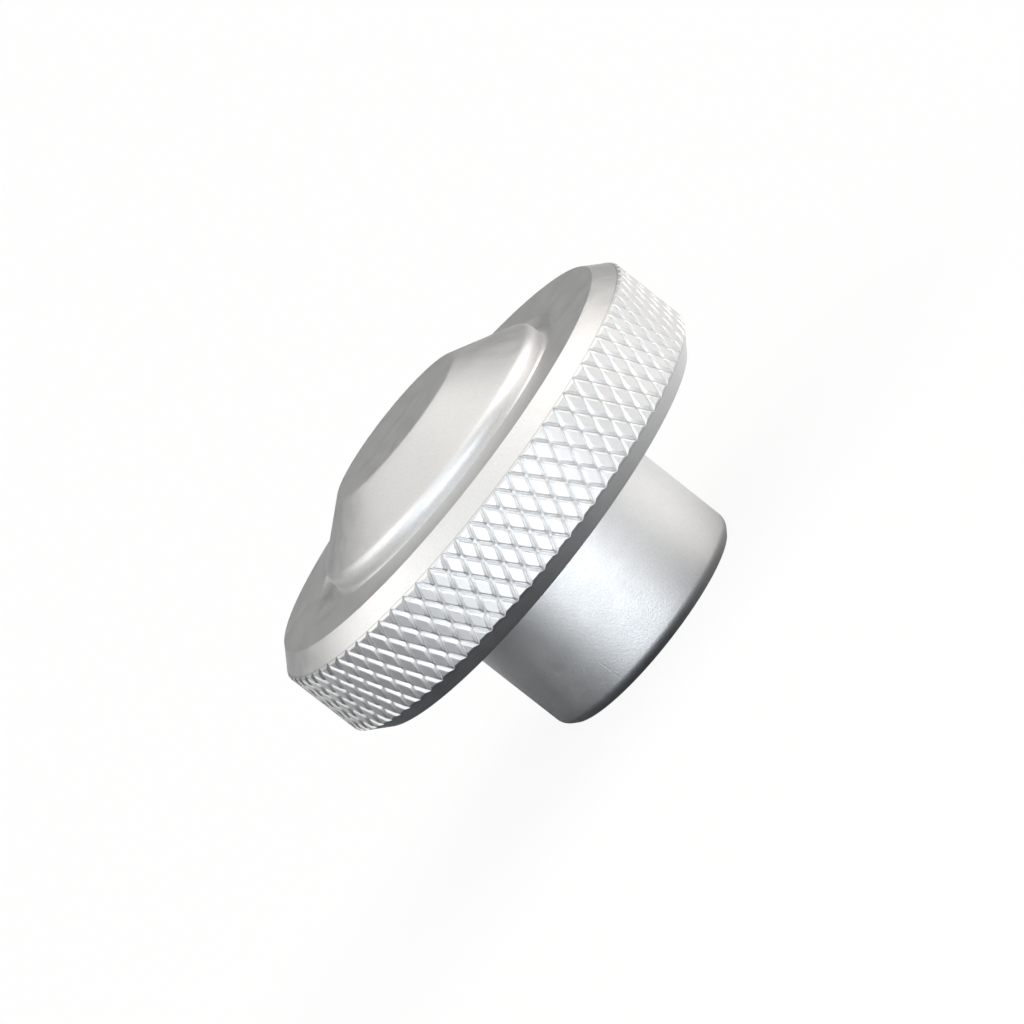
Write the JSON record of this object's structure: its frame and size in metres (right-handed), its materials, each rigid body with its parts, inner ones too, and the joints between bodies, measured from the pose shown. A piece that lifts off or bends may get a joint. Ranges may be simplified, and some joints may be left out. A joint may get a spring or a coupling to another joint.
{
  "type": "knob",
  "caption": "Round one-piece aluminium knob with a diamond-knurled rim, a raised conical boss on top and a tapped hub below, for turning or clamping by hand.",
  "frame": {"origin": "centre of the hub's end face, on the knob's axis", "axes": "+Z along the knob's axis, from the tapped hub up to the boss; X and Y are alike"},
  "size_m": [0.036, 0.036, 0.0225],
  "materials": {
    "aluminium": "satin, bead-blasted and clear anodised"
  },
  "bodies": {
    "root": {"knob": "aluminium"}
  },
  "joints": []
}
